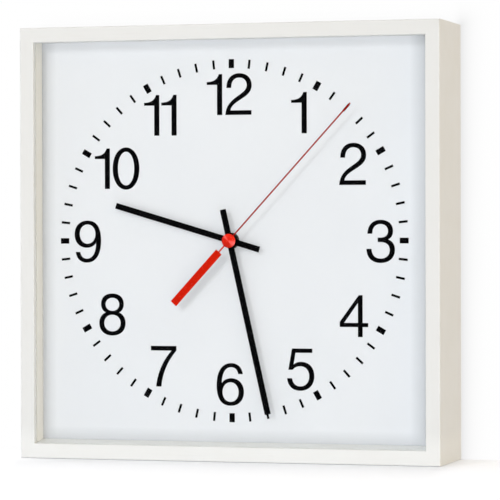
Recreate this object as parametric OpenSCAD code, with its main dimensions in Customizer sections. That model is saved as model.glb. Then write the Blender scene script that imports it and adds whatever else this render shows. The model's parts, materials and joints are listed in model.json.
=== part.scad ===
// Square quartz wall clock: a deep lacquered box frame with a recessed dial, glass, three hands and
// a battery movement behind the dial. The origin is the hanging point on the wall plane,
// X to the right, Y into the wall and Z up. Most pieces are drawn in the dial's own view: X right,
// Y up, and Z as the height in front of the dial, with the axis of the hands at the centre.

/* [Case] */
// Outer width and height of the case
case_w = 300; // [296:1:340]
// Depth of the case, from its front face to the wall
case_d = 66; // [60:1:80]
// Width of the frame's face, seen from the front
rail_face = 10.2; // [10:0.1:14]
// Thickness of the case wall behind the glass
rail_wall = 6.5; // [6:0.1:7]
// Thickness of the lip in front of the glass
lip_t = 3; // [2.5:0.1:4]
// Depth of the recess, from the front face to the dial
recess = 14.5; // [14:0.1:17]
// How far each side of the recess slopes inwards, front to dial
recess_draft = 1.2; // [0.2:0.1:2.5]
// Height of the dial's centre above the centre of the case
axis_rise = 1.4; // [0:0.1:1.5]
// Rounding of the frame's edges
edge_r = 0.9; // [0.4:0.1:1.5]

/* [Glass and dial] */
// Thickness of the glass
glass_t = 1.5; // [1:0.1:2.2]
// Gap between the edge of a flat sheet and the case wall
sheet_gap = 0.5; // [0.2:0.1:1]
// Thickness of the aluminium dial
dial_t = 1; // [0.6:0.1:1.2]
// Thickness of the hardboard backing behind the dial
board_t = 3; // [2.5:0.1:3.2]
// Radius of the outer ends of the minute marks
mark_r = 125; // [110:0.5:128]
// Length of every mark
mark_len = 6.2; // [5:0.1:9]
// Width of the twelve hour marks
hour_mark_w = 3.8; // [3:0.1:5]
// Width of the other marks
minute_mark_w = 1.6; // [1:0.1:2.4]
// Thickness of the printed marks
mark_t = 0.1; // [0.05:0.01:0.2]

/* [Hands] */
// Width of the hour hand
hour_w = 4.1; // [3:0.1:6]
// Length of the hour hand, from the axis
hour_len = 86.5; // [60:0.5:95]
// Length of the hour hand's tail
hour_tail = 21.5; // [12:0.5:25]
// Direction of the hour hand, clockwise from twelve
hour_dir = 286.4; // [0:0.1:360]
// Width of the minute hand
minute_w = 4.2; // [3:0.1:6]
// Length of the minute hand, from the axis
minute_len = 122; // [100:0.5:124]
// Length of the minute hand's tail
minute_tail = 22; // [12:0.5:25]
// Direction of the minute hand, clockwise from twelve
minute_dir = 167.2; // [0:0.1:360]
// Thickness of the hour and minute hands
hand_t = 0.5; // [0.3:0.05:0.6]
// Width of the second hand's needle
needle_w = 0.9; // [0.7:0.05:1.4]
// Length of the needle, from the axis
needle_len = 127; // [100:0.5:130]
// Width of the second hand's counterweight
weight_w = 5.2; // [3:0.1:6]
// Distance from the axis to the near end of the counterweight
weight_start = 10.5; // [8:0.5:20]
// Distance from the axis to the far end of the counterweight
weight_end = 59; // [40:0.5:70]
// Direction of the second hand, clockwise from twelve
second_dir = 42.7; // [0:0.1:360]
// Radius of the red cap on the second hand
cap_r = 4.85; // [4:0.05:6]

/* [Hanging] */
// Height of the hanging point above the axis of the hands
hang_drop = 128; // [122:0.5:129]
// Radius of the keyhole's round part
key_r = 4; // [3.5:0.1:4.5]
// Width of the keyhole's slot
key_slot_w = 4; // [3:0.1:4.5]
// Thickness of the hanger plate
hanger_t = 1.5; // [1.2:0.1:2]

/* [Movement] */
// Width and height of the movement's housing
move_w = 56; // [56:0.5:60]
// Radius of the threaded centre bush
bush_r = 4; // [3.8:0.1:4.2]
// Width of the fixing nut across its flats
nut_flats = 10; // [9.6:0.1:11]
// Radial play of every shaft in its bearing
play = 0.05; // [0.03:0.01:0.08]
// Radius of the battery
cell_r = 7.1; // [7:0.05:7.2]

/* [Gears] */
// Module of the going train, from the rotor to the centre wheel
train_m = 0.2; // [0.2:0.001:0.202]
// Module of the motion work, from the cannon pinion to the hour wheel
motion_m = 0.28; // [0.28:0.001:0.282]
// Backlash of each pair, as a share of the module
backlash = 0.3; // [0.2:0.01:0.4]
// Direction from the centre to the third wheel, anticlockwise from three o'clock
third_dir = 45; // [40:1:55]
// Direction from the centre to the intermediate wheel
inter_dir = -22; // [-24:1:-20]
// Direction from the intermediate wheel to the rotor
rotor_dir = 10; // [5:1:14]
// Direction from the centre to the motion wheel
motion_dir = 150; // [145:1:158]
// Direction from the motion wheel to the setting shaft
set_dir = 160; // [155:1:168]

/* [Hidden] */
$fn = 64;

half = case_w / 2;
front_z = recess;
back_z = recess - case_d;
glass_z = recess - lip_t;
spacer_z = glass_z - glass_t;
board_back = -dial_t - board_t;
inner_half = half - rail_wall;
lip_hold = 1.7;
glass_wall = rail_face - lip_hold;
glass_w = case_w - 2 * (glass_wall + sheet_gap);
sheet_w = 2 * (inner_half - sheet_gap);
hole_r = bush_r + 0.2;

// Rebate along the foot of each spacer, which leaves a dark line beside the dial
foot_h = 0.4;
foot_deep = 1.2;
// Extra slope of the bottom, right, top and left spacers, for a dial that sits above the centre
spacer_rise = [axis_rise, 0, -axis_rise, 0];

// Tooth counts
rotor_n = 10;
inter_n = 60;
inter_pinion_n = 12;
second_n = 60;
second_pinion_n = 11;
third_n = 66;
third_pinion_n = 7;
centre_n = 70;
cannon_n = 15;
motion_n = 45;
motion_pinion_n = 12;
hour_n = 48;
set_n = 15;

// Profile shift of pinion and wheel, in modules, which keeps the small pinions strong
train_shift = 0.4;
third_shift = 0.55;
motion_shift = 0.3;

// Axes of the train, in the dial's view
function polar(r, a) = [r * cos(a), r * sin(a)];
function gap_of(m, n1, n2) = m * (n1 + n2) / 2;
third_at = polar(gap_of(train_m, second_pinion_n, third_n), third_dir);
inter_at = polar(gap_of(train_m, second_n, inter_pinion_n), inter_dir);
rotor_at = inter_at + polar(gap_of(train_m, inter_n, rotor_n), rotor_dir);
motion_at = polar(gap_of(motion_m, cannon_n, motion_n), motion_dir);
set_at = motion_at + polar(gap_of(motion_m, motion_n, set_n), set_dir);

// Rotation that brings gear B into mesh with gear A, which is turned by turn_a
function mesh_turn(dir, n_a, n_b, turn_a) =
    dir + 180 + 180 / n_b - (turn_a - dir) * n_a / n_b;
second_turn = 0;
inter_turn = mesh_turn(inter_dir, second_n, inter_pinion_n, second_turn);
rotor_turn = mesh_turn(rotor_dir, inter_n, rotor_n, inter_turn);
third_turn = mesh_turn(third_dir, second_pinion_n, third_n, second_turn);
centre_turn = mesh_turn(third_dir + 180, third_pinion_n, centre_n, third_turn);
motion_turn = mesh_turn(motion_dir, cannon_n, motion_n, centre_turn);
hour_turn = mesh_turn(motion_dir + 180, motion_pinion_n, hour_n, motion_turn);
set_turn = mesh_turn(set_dir, motion_n, set_n, motion_turn);

// Shaft radii, from the second hand's arbor out to the bush
arbor_r = 0.5;
minute_pipe_r = 1.75;
hour_pipe_r = 2.5;
pivot_r = 0.4;
rotor_pivot_r = 0.3;
motion_post_r = 0.6;
set_shaft_r = 1;

// Hub radii of the wheels, and the short foot of the minute pipe
small_hub_r = 1.6;
centre_hub_r = 2.6;
motion_hub_r = 2.2;
hour_hub_r = 3.4;
pipe_foot = 0.2;

// Heights in the movement, in front of the dial where positive
washer_t = 1;
washer_r = 9;
move_front = board_back - washer_t;
plate_t = 1.5;
plate_back = move_front - plate_t;
move_back = -20.6;
cover_t = 1.2;
middle_front = -11.4;
middle_t = 1;
bridge_front = -17.2;
bridge_t = 1.2;
bearing_deep = 0.9;
pivot_deep = 0.8;
shaft_out = 1;
wheel_t = 0.8;
web_t = 0.4;
pinion_t = 1.2;
inter_pinion_t = 1.5;
second_pinion_t = 1.6;
third_pinion_t = 2.9;
motion_pinion_t = 1.9;
hour_wheel_z = -8;
hour_wheel_t = 1;
motion_wheel_z = -9.5;
cannon_z = -9.7;
centre_z = -10.8;
third_z = -13.6;
second_z = -15.1;
inter_z = -16.5;
rotor_pinion_z = -16.7;
stator_z = -14.8;
stator_t = 0.8;
core_z = stator_z - stator_t;
magnet_z = -15.2;
magnet_r = 2.5;
magnet_t = 1.8;

// Fixings of the movement, and heights of the hands in front of the dial
flange_r = 6;
flange_t = 0.8;
dial_washer_r = 5.5;
dial_washer_t = 0.4;
chamfer = 0.4;
nut_t = 1.8;
bush_end = 2.7;
hour_z = 3.1;
hour_boss_r = 4.7;
hour_pipe_end = 3.9;
minute_z = 4.9;
minute_boss_r = 4.2;
minute_pipe_end = 6;
hand_nut_z = 5.6;
hand_nut_t = 0.7;
hand_nut_r = 2.7;
boss_out = 0.15;
minute_boss_out = 0.3;
minute_boss_over = 0.2;
second_tube_z = 6.45;
second_tube_r = 0.9;
second_eye_r = 1.6;
second_z_front = 7;
arbor_out = 0.3;
needle_t = 0.35;
cap_t = 1.1;
cap_rim = 0.6;
cap_round = 0.15;
cap_flat_r = 0.4;

// Housing: walls round the gear chamber and the battery bay
chamber_x = 26;
chamber_low = -9.4;
chamber_high = 26;
cover_lip = 0.8;
cover_gap = 0.1;
bay_x = 26.5;
bay_low = -26.5;
bay_high = -10.9;
housing_r = 3;
pillars = [[-20, -6.5], [-22, 13.5], [11, 14.5], [16, -7.6]];
pillar_r = 1.8;
pillar_neck_r = 1.2;
pillar_pin_r = 0.8;
coil_x = 22;
coil_low = 2;
coil_high = 20;
coil_posts = [[coil_x, -0.9], [coil_x, 22.6]];
coil_post_r = 1.5;
coil_screw_r = 0.6;
coil_screw_len = 5;
coil_head_t = 0.8;
coil_screw_hole_z = -10;
board_posts = [[-14, 17.5], [5, 23.5]];
board_post_r = 1.4;
board_pin_r = 0.7;
motion_post_z = -10;
post_root = plate_back + 0.5;
notch_r = 8;

// Outline of the two train plates, and the window that clears the circuit board
plate_left = -25;
plate_right = 18.4;
plate_low = chamber_low + 0.3;
plate_high = 17;
window_low = [-8, 11.5];
window_high = [6, 18];
third_pass_r = 1.1;

// Cover: a groove round the knob and ribs beside it
groove_deep = 0.4;
groove_in = 6.7;
groove_out = 7.5;
rib_pitch = 4;
rib_gap = 1;
rib_x = [-2, 22];
cover_hole_r = set_shaft_r + 0.3;

// Circuit board with its chip and crystal
circuit_low = [-18, 15];
circuit_high = [8, 25.5];
circuit_back = -10;
circuit_t = 1;
pin_out = 0.4;
chip_at = [-4, 20.5];
chip_r = 3.6;
chip_ball_r = 5;
crystal_at = [-13.5, 22.6, -7.9];
crystal_r = 1;
crystal_rim_r = 1.1;
crystal_len = 6;
crystal_rim = 0.5;
lead_r = 0.15;
lead_end = 8.6;
lead_half_gap = 0.4;

// Stator, coil and bobbin
pole_r = 4.3;
pole_gap = 0.4;
notch_angles = [50, 230];
pole_notch_r = 0.35;
arm_in = 14.2;
arm_mid = 17.4;
arm_out = 23.8;
arm_low = [-3, 1.2];
arm_high = [20.9, 24.3];
core_half = 0.8;
core_y = [-2.6, 24.2];
bobbin_r = 1.5;
winding_r = 2.6;
bobbin_flange = 2.8;
bobbin_flange_t = 0.8;

// Battery contacts
contact_half_w = 6;
contact_half_h = 5;
contact_plus_t = 0.5;
contact_minus_t = 0.4;
dimple_t = 0.4;
dimple_r = 1.4;
dimple_foot_r = 2.4;
leaf_half_w = 3;
leaf_foot = 5.5;
leaf_knee = 1.2;
leaf_t = 0.3;
leaf_lift = 0.9;
leaf_top = 1.2;

// Setting shaft and knob
knob_r = 5.4;
flute = 0.25;
flutes = 18;
knob_t = 2.2;
knob_stem_r = 2.2;
knob_stem = 3.3;
knob_len = 3.6;
knob_skin = 0.2;
knob_hollow_r = 3.6;
knob_hollow = 0.5;

// Battery along X, in the lower part of the housing
cell_y = (bay_low + bay_high) / 2;
cell_z = plate_back - 0.25 - cell_r;
cell_len = 49.5;
cell_nub = 1;
cell_nub_r = 2.75;
cell_round = 0.3;
cell_end = 24.55;

// Places of the repeated fixings
clip_at = [-70, 70];
clip_w = 12;
clip_leg = 12;
clip_t = 1;
clip_screw_r = 1.25;
clip_head_r = 2.5;
clip_head_t = 1.4;
screw_deep = 4.5;
clip_screw_z = board_back - 7.5;
hanger_w = 40;
hanger_low = hang_drop - 10;
hanger_leg = 15;
hanger_screws_x = [-13, 13];
hanger_screw_r = 1.5;
hanger_head_r = 3;
hanger_head_t = 1.6;
hanger_top = inner_half - axis_rise;
key_rise = 3.5;
hanger_screw_z = back_z + 9;
nail_w = 6;
nail_t = 0.8;
nail_deep = 10;

// Moves the dial's view into the frame of the part
module in_view() translate([0, -(case_d - recess), -hang_drop]) rotate([90, 0, 0]) children();

// The same for pieces drawn about the centre of the case
module in_case() in_view() translate([0, -axis_rise, 0]) children();

// A round bar on the local Z axis between two heights
module bar(r, low, high) translate([0, 0, low]) cylinder(r = r, h = high - low);

// A block between two corners
module block(low, high) translate(low) cube(high - low);

// Points along an arc
function arc(c, r, a0, a1, n) = [for (i = [0:n]) c + polar(r, a0 + (a1 - a0) * i / n)];

// Outline of a rectangle with rounded corners
function round_rect(w, h, r) = concat(
    arc([w / 2 - r, h / 2 - r], r, 0, 90, 5), arc([r - w / 2, h / 2 - r], r, 90, 180, 5),
    arc([r - w / 2, r - h / 2], r, 180, 270, 5), arc([w / 2 - r, r - h / 2], r, 270, 360, 5));

// Involute gear outline with n teeth. shift moves the teeth outwards and steps sets the points
// on a flank
pressure = 20;
function inv(a) = tan(a) * 180 / PI - a;
function tooth_half(n, m, shift, r) =
    let (pitch_r = n * m / 2, base_r = pitch_r * cos(pressure),
         a = acos(min(1, base_r / max(r, base_r))))
    (PI / 2 + 2 * shift * tan(pressure) - backlash / 2) * m / (2 * pitch_r) * 180 / PI
        + inv(pressure) - inv(a);
function gear_points(n, m, shift, top, steps) =
    let (root_r = n * m / 2 + (shift - 1.25) * m, tip_r = n * m / 2 + top * m)
    [for (i = [0:n - 1], side = [-1, 1], k = [0:steps])
        let (s = side < 0 ? k : steps - k, r = root_r + (tip_r - root_r) * s / steps)
        polar(r, i * 360 / n + side * tooth_half(n, m, shift, r))];

// A spur gear lying between z and z + t
module gear(n, m, shift, top, steps, z, t)
    translate([0, 0, z]) linear_extrude(t) polygon(gear_points(n, m, shift, top, steps));

// A moulded wheel with a thin web between rim and hub
module wheel(n, m, shift, z, t, hub_r) {
    rim_r = n * m / 2 - 4 * m;
    difference() {
        gear(n, m, -shift, 1 - shift, 2, z, t);
        for (low = [z - t, z + (t + web_t) / 2])
            difference() {
                bar(rim_r, low, low + (low < z ? t + (t - web_t) / 2 : t));
                bar(hub_r, low - t, low + 3 * t);
            }
    }
}

// A pinion with thick, well raised teeth
module pinion(n, m, shift, z, t) gear(n, m, shift, 0.75 + shift, 3, z, t);

// One side of the frame with mitred ends, drawn as the bottom one and turned to its side.
// Its section's first number is the distance from the outer face and its second the height
module mitred(side, section) rotate(side * 90) intersection() {
    translate([-half, -half, 0]) rotate([90, 0, 90]) linear_extrude(case_w) polygon(section);
    translate([0, 0, back_z]) linear_extrude(case_d)
        polygon([[-half, -half], [half, -half], [0, 0]]);
}

// Width of the frame at a height, on the sloping side of the lip
function lip_at(z) = rail_face + recess_draft * (front_z - z) / recess;

// The same on the sloping side of a spacer
function spacer_at(side, z) = lip_at(z) + spacer_rise[side] * (glass_z - z) / glass_z;

// A fastener's pan head with a slot, standing on z = 0
module pan_head(r, t) difference() {
    rotate_extrude() polygon([[0, 0], [r, 0], [r, t * 0.55], [r * 0.75, t * 0.9], [0, t]]);
    translate([-r, -r * 0.14, t * 0.5]) cube([2 * r, r * 0.28, t]);
}

module rail(side) color("#efece4") in_case() difference() {
    mitred(side, concat(
        arc([edge_r, back_z + edge_r], edge_r, 270, 180, 4),
        arc([edge_r, front_z - edge_r], edge_r, 180, 90, 4),
        arc([rail_face - edge_r / 2, front_z - edge_r / 2], edge_r / 2, 90, 0, 3),
        [[lip_at(glass_z), glass_z], [glass_wall, glass_z], [glass_wall, spacer_z],
            [rail_wall, spacer_z], [rail_wall, back_z]]));
    corner_plates();
    rotate(side * 90) for (x = clip_at)
        translate([x, -inner_half, clip_screw_z]) rotate([90, 0, 0])
            bar(clip_screw_r, -1, screw_deep);
    if (side == 2) for (x = hanger_screws_x)
        translate([x, inner_half, hanger_screw_z]) rotate([-90, 0, 0])
            bar(hanger_screw_r, -1, screw_deep);
}

// A strip along one inner side of the case, between the dial and the glass
module strip(side, foot_in, foot_up) rotate(side * 90) translate([-inner_half, -half, 0])
    rotate([90, 0, 90]) linear_extrude(2 * inner_half) polygon([
        [rail_wall, 0], [spacer_at(side, 0) - foot_in, 0], [spacer_at(side, 0) - foot_in, foot_up],
        [spacer_at(side, foot_up), foot_up], [spacer_at(side, spacer_z), spacer_z],
        [rail_wall, spacer_z]]);

// The upright spacers run the full height. The other two are cut to fit between them
module spacer(side) color("#efece4") in_case() difference() {
    strip(side, foot_deep, foot_h);
    if (side % 2 == 0) for (upright = [1, 3]) strip(upright, 0, foot_h);
}

// Thin plates driven across the mitres from the back
module corner_plates() for (a = [0:90:270])
    rotate(a) translate([half - rail_wall / 2, half - rail_wall / 2, back_z]) rotate(-45)
        translate([-nail_w / 2, -nail_t / 2, 0]) cube([nail_w, nail_t, nail_deep]);

module corner_fasteners() color("#a9acb0") in_case() corner_plates();

// A square sheet that fills the case, with a hole for the bush
module sheet(low, high) in_view() difference() {
    translate([0, -axis_rise, 0])
        block([-sheet_w / 2, -sheet_w / 2, low], [sheet_w / 2, sheet_w / 2, high]);
    bar(hole_r, low - 1, high + 1);
}

module glass() color("#dfe9ea", 0.3) in_case()
    block([-glass_w / 2, -glass_w / 2, spacer_z], [glass_w / 2, glass_w / 2, glass_z]);

module dial() color("#eceef0") sheet(-dial_t, 0);

module backing_board() color("#8a6a48") sheet(board_back, -dial_t);

module minute_marks() color("#161616") in_view() for (i = [0:59]) {
    w = i % 5 == 0 ? hour_mark_w : minute_mark_w;
    rotate(i * 6) translate([-w / 2, mark_r - mark_len, 0]) cube([w, mark_len, mark_t]);
}

// Steel angles that hold the board against the spacers, two on each side
module at_clips() for (side = [0:3], x = clip_at)
    rotate(side * 90) translate([x, -inner_half, board_back]) children();

module board_clips() color("#b9bcc0") in_case() at_clips() difference() {
    union() {
        block([-clip_w / 2, 0, -clip_t], [clip_w / 2, clip_leg, 0]);
        block([-clip_w / 2, 0, -clip_leg], [clip_w / 2, clip_t, 0]);
    }
    translate([0, 0, clip_screw_z - board_back]) rotate([-90, 0, 0]) bar(clip_screw_r, -1, 3 * clip_t);
}

module clip_screws() color("#c9a84c") in_case() at_clips()
    translate([0, clip_t, clip_screw_z - board_back]) rotate([-90, 0, 0]) {
        bar(clip_screw_r, -clip_t - screw_deep, 0);
        pan_head(clip_head_r, clip_head_t);
    }

// Keyhole plate on the underside of the top rail, flush with the back of the case
module hanger_plate() color("#b9bcc0") in_view() difference() {
    union() {
        block([-hanger_w / 2, hanger_low, back_z], [hanger_w / 2, hanger_top, back_z + hanger_t]);
        block([-hanger_w / 2, hanger_top - hanger_t, back_z],
            [hanger_w / 2, hanger_top, back_z + hanger_leg]);
    }
    translate([0, hang_drop, back_z]) {
        bar(key_r, -1, hanger_t + 1);
        block([-key_slot_w / 2, 0, -1], [key_slot_w / 2, key_r + key_rise, hanger_t + 1]);
    }
    translate([0, hang_drop + key_r + key_rise, back_z]) bar(key_slot_w / 2, -1, hanger_t + 1);
    for (x = hanger_screws_x) translate([x, hanger_top + 1, hanger_screw_z]) rotate([90, 0, 0])
        bar(hanger_screw_r, 0, 2 + hanger_t);
}

module hanger_screws() color("#c9a84c") in_view() for (x = hanger_screws_x)
    translate([x, hanger_top - hanger_t, hanger_screw_z]) rotate([90, 0, 0]) {
        bar(hanger_screw_r, -hanger_t - screw_deep, 0);
        pan_head(hanger_head_r, hanger_head_t);
    }

module rubber_washer() color("#2b2b2b") in_view() difference() {
    bar(washer_r, move_front, board_back);
    bar(hole_r, move_front - 1, board_back + 1);
}

module centre_bush() color("#c8a24a") in_view() difference() {
    rotate_extrude() polygon([[0, plate_back], [flange_r, plate_back],
        [flange_r, plate_back + flange_t], [bush_r, plate_back + flange_t],
        [bush_r, bush_end - chamfer], [bush_r - chamfer, bush_end], [0, bush_end]]);
    bar(hour_pipe_r + play, plate_back - 1, bush_end + 1);
}

module dial_washer() color("#c8a24a") in_view() difference() {
    bar(dial_washer_r, 0, dial_washer_t);
    bar(bush_r + play, -1, dial_washer_t + 1);
}

module fixing_nut() color("#c8a24a") in_view() translate([0, 0, dial_washer_t]) difference() {
    nut_corner = nut_flats / sqrt(3);
    intersection() {
        cylinder(r = nut_corner, h = nut_t, $fn = 6);
        cylinder(r1 = nut_corner + nut_t, r2 = nut_flats / 2, h = nut_t);
    }
    bar(bush_r, -1, nut_t + 1);
}

// Front half of the housing: plate, outer walls, battery bay, pillars and posts
module movement_base() color("#1d1d1f") in_view() {
    difference() {
        translate([0, 0, move_back]) linear_extrude(move_front - move_back)
            polygon(round_rect(move_w, move_w, housing_r));
        block([-chamber_x, chamber_low, move_back - 1], [chamber_x, chamber_high, plate_back]);
        block([-chamber_x - cover_lip, chamber_low - cover_lip / 2, move_back - 1],
            [chamber_x + cover_lip, chamber_high + cover_lip, move_back + cover_t]);
        block([-bay_x, bay_low, move_back - 1], [bay_x, bay_high, plate_back]);
        bar(bush_r, plate_back - 1, move_front + 1);
        bar(flange_r, plate_back - 1, plate_back + flange_t);
        for (p = [third_at, set_at]) translate(p)
            bar(pivot_r + play, plate_back - 1, plate_back + bearing_deep);
        // Finger notch that helps the battery out
        translate([0, bay_low, move_back]) rotate([90, 0, 0]) bar(notch_r, -2, move_w);
    }
    for (p = pillars) translate(p) {
        bar(pillar_r, middle_front, post_root);
        bar(pillar_neck_r, bridge_front, post_root);
        bar(pillar_pin_r, bridge_front - bridge_t - pin_out, post_root);
    }
    for (p = coil_posts) translate(p) difference() {
        bar(coil_post_r, stator_z + stator_t, post_root);
        bar(coil_screw_r, stator_z, coil_screw_hole_z);
    }
    for (p = board_posts) translate(p) {
        bar(board_post_r, circuit_back + circuit_t, post_root);
        bar(board_pin_r, circuit_back - pin_out, post_root);
    }
    translate(motion_at) bar(motion_post_r, motion_post_z, post_root);
}

// Body of the two plates that carry the train
module train_plate(z, t, third_r, pillar_hole_r) color("#e8e4d6") in_view() difference() {
    block([plate_left, plate_low, z - t], [plate_right, plate_high, z]);
    block([window_low[0], window_low[1], z - 2 * t], [window_high[0], window_high[1], z + t]);
    bar(arbor_r + play, z - 2 * t, z + t);
    translate(rotor_at) bar(rotor_pivot_r + play, z - 2 * t, z + t);
    translate(inter_at) bar(pivot_r + play, z - 2 * t, z + t);
    translate(third_at) bar(third_r, z - 2 * t, z + t);
    translate(set_at) bar(set_shaft_r + play, z - 2 * t, z + t);
    for (p = pillars) translate(p) bar(pillar_hole_r, z - 2 * t, z + t);
}

module middle_plate() train_plate(middle_front, middle_t, third_pass_r, pillar_neck_r);

module rear_bridge() train_plate(bridge_front, bridge_t, pivot_r + play, pillar_pin_r);

module movement_cover() color("#1d1d1f") in_view() difference() {
    block([-chamber_x - cover_lip + cover_gap, chamber_low - cover_lip / 2 + cover_gap, move_back],
        [chamber_x + cover_lip - cover_gap, chamber_high + cover_lip - cover_gap,
            move_back + cover_t]);
    translate(set_at) bar(cover_hole_r, move_back - 1, 0);
    translate(set_at) difference() {
        bar(groove_out, move_back - 1, move_back + groove_deep);
        bar(groove_in, move_back - 2, move_back + 1);
    }
    for (y = [-rib_pitch:rib_pitch:5 * rib_pitch])
        block([rib_x[0], y, move_back - 1], [rib_x[1], y + rib_gap, move_back + groove_deep]);
}

module circuit_board() color("#2f6b45") in_view() difference() {
    block([circuit_low[0], circuit_low[1], circuit_back],
        [circuit_high[0], circuit_high[1], circuit_back + circuit_t]);
    for (p = board_posts) translate(p)
        bar(board_pin_r, circuit_back - 1, circuit_back + circuit_t + 1);
}

// A low drop of epoxy, the top of a ball
module circuit_chip() color("#121212") in_view() translate([chip_at[0], chip_at[1], circuit_back])
    rotate([180, 0, 0]) rotate_extrude() polygon(concat([[0, 0]], arc(
        [0, -sqrt(pow(chip_ball_r, 2) - pow(chip_r, 2))], chip_ball_r,
        acos(chip_r / chip_ball_r), 90, 6)));

module quartz_crystal() color("#c4c7ca") in_view() translate(crystal_at) rotate([0, 90, 0]) {
    bar(crystal_r, 0, crystal_len + crystal_rim);
    bar(crystal_rim_r, crystal_len, crystal_len + crystal_rim);
    for (y = [-lead_half_gap, lead_half_gap]) translate([0, y, 0])
        bar(lead_r, crystal_len, lead_end);
}

// Soft iron plate round the rotor, with arms to both ends of the coil
module stator() color("#8f9296") in_view() difference() {
    union() {
        translate(rotor_at) bar(pole_r, stator_z, stator_z + stator_t);
        block([rotor_at[0], arm_low[0], stator_z], [arm_out, arm_low[1], stator_z + stator_t]);
        block([arm_in, arm_low[0] / 2, stator_z], [arm_mid, arm_high[1], stator_z + stator_t]);
        block([arm_in, arm_high[0], stator_z], [arm_out, arm_high[1], stator_z + stator_t]);
    }
    translate(rotor_at) {
        bar(magnet_r + pole_gap, stator_z - 1, stator_z + 2);
        // Notches that set the direction of each step
        for (a = notch_angles) rotate(a) translate([magnet_r + pole_gap, 0, 0])
            bar(pole_notch_r, stator_z - 1, stator_z + 2);
    }
    for (p = coil_posts) translate(p) bar(coil_screw_r, stator_z - 1, stator_z + 2);
}

module coil_core() color("#a5a8ab") in_view() difference() {
    block([coil_x - core_half, core_y[0], core_z], [coil_x + core_half, core_y[1], core_z + stator_t]);
    for (p = coil_posts) translate(p) bar(coil_screw_r, core_z - 1, core_z + 2);
}

module coil_tube(r, low, high) translate([coil_x, 0, core_z + stator_t / 2]) rotate([-90, 0, 0])
    bar(r, low, high);

module coil_bobbin() color("#e8e4d6") in_view() difference() {
    union() {
        coil_tube(bobbin_r, coil_low, coil_high);
        for (y = [coil_low, coil_high - bobbin_flange_t])
            translate([coil_x, y + bobbin_flange_t / 2, core_z + stator_t / 2])
                cube([2 * bobbin_flange, bobbin_flange_t, 2 * bobbin_flange], center = true);
    }
    block([coil_x - core_half, coil_low - 1, core_z],
        [coil_x + core_half, coil_high + 1, core_z + stator_t]);
}

module coil_winding() color("#b5652b") in_view() difference() {
    coil_tube(winding_r, coil_low + bobbin_flange_t, coil_high - bobbin_flange_t);
    coil_tube(bobbin_r, coil_low, coil_high);
}

module coil_screws() color("#c4c7ca") in_view() for (p = coil_posts)
    translate([p[0], p[1], core_z]) {
        bar(coil_screw_r, 0, coil_screw_len);
        rotate([180, 0, 0]) pan_head(2 * coil_screw_r, coil_head_t);
    }

module contact_plus() color("#c9ccd0") in_view() {
    block([bay_x - contact_plus_t, cell_y - contact_half_w, cell_z - contact_half_h],
        [bay_x, cell_y + contact_half_w, cell_z + contact_half_h]);
    translate([bay_x - contact_plus_t - dimple_t, cell_y, cell_z]) rotate([0, 90, 0])
        cylinder(r1 = dimple_r, r2 = dimple_foot_r, h = dimple_t + contact_plus_t / 2);
}

// Leaf that presses on the flat end of the battery
module contact_minus() color("#c9ccd0") in_view() translate([-bay_x, cell_y, cell_z]) {
    block([0, -contact_half_w, -contact_half_h],
        [contact_minus_t, contact_half_w, contact_half_h]);
    translate([0, 0, -leaf_half_w]) linear_extrude(2 * leaf_half_w) polygon([
        [leaf_t, -leaf_foot], [leaf_lift + leaf_t, -leaf_knee], [leaf_top + leaf_t, 0],
        [leaf_lift + leaf_t, leaf_knee], [leaf_t, leaf_foot], [leaf_t, leaf_foot - 0.5],
        [leaf_lift, leaf_knee], [leaf_top, 0], [leaf_lift, -leaf_knee], [leaf_t, 0.5 - leaf_foot]]);
}

module battery() color("#3c5f8f") in_view() translate([cell_end, cell_y, cell_z]) rotate([0, -90, 0])
    rotate_extrude() polygon([
        [0, -cell_nub], [cell_nub_r - cell_round, -cell_nub], [cell_nub_r, cell_round - cell_nub],
        [cell_nub_r, 0], [cell_r - 3 * cell_round, 0], [cell_r - 0.7 * cell_round, cell_round],
        [cell_r, 3 * cell_round], [cell_r, cell_len - 2 * cell_round],
        [cell_r - 1.7 * cell_round, cell_len - 0.3 * cell_round], [cell_r - 4 * cell_round, cell_len],
        [cell_r - 6 * cell_round, cell_len - cell_round], [0, cell_len - cell_round]]);

module rotor_magnet() color("#4a4c50") in_view() translate(rotor_at) difference() {
    bar(magnet_r, magnet_z, magnet_z + magnet_t);
    bar(rotor_pivot_r, magnet_z - 1, magnet_z + magnet_t + 1);
}

module rotor_pinion() color("#f2efe6") in_view() translate(rotor_at) {
    bar(rotor_pivot_r, bridge_front - shaft_out, middle_front - middle_t + pivot_deep);
    rotate(rotor_turn) pinion(rotor_n, train_m, train_shift, rotor_pinion_z, pinion_t);
}

module intermediate_wheel() color("#f2efe6") in_view() translate(inter_at) {
    bar(pivot_r, bridge_front - shaft_out, middle_front - middle_t + pivot_deep);
    rotate(inter_turn) {
        wheel(inter_n, train_m, train_shift, inter_z, wheel_t, small_hub_r);
        pinion(inter_pinion_n, train_m, train_shift, inter_z + wheel_t, inter_pinion_t);
    }
}

module second_wheel() color("#e9d9a8") in_view() {
    bar(arbor_r, bridge_front - shaft_out, second_z_front + arbor_out);
    rotate(second_turn) {
        wheel(second_n, train_m, train_shift, second_z, wheel_t, small_hub_r);
        pinion(second_pinion_n, train_m, train_shift, second_z + wheel_t, second_pinion_t);
    }
}

module third_wheel() color("#f2efe6") in_view() translate(third_at) {
    bar(pivot_r, bridge_front - shaft_out, plate_back + pivot_deep);
    rotate(third_turn) {
        wheel(third_n, train_m, train_shift, third_z, wheel_t, small_hub_r);
        pinion(third_pinion_n, train_m, third_shift, third_z + wheel_t, third_pinion_t);
    }
}

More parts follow.
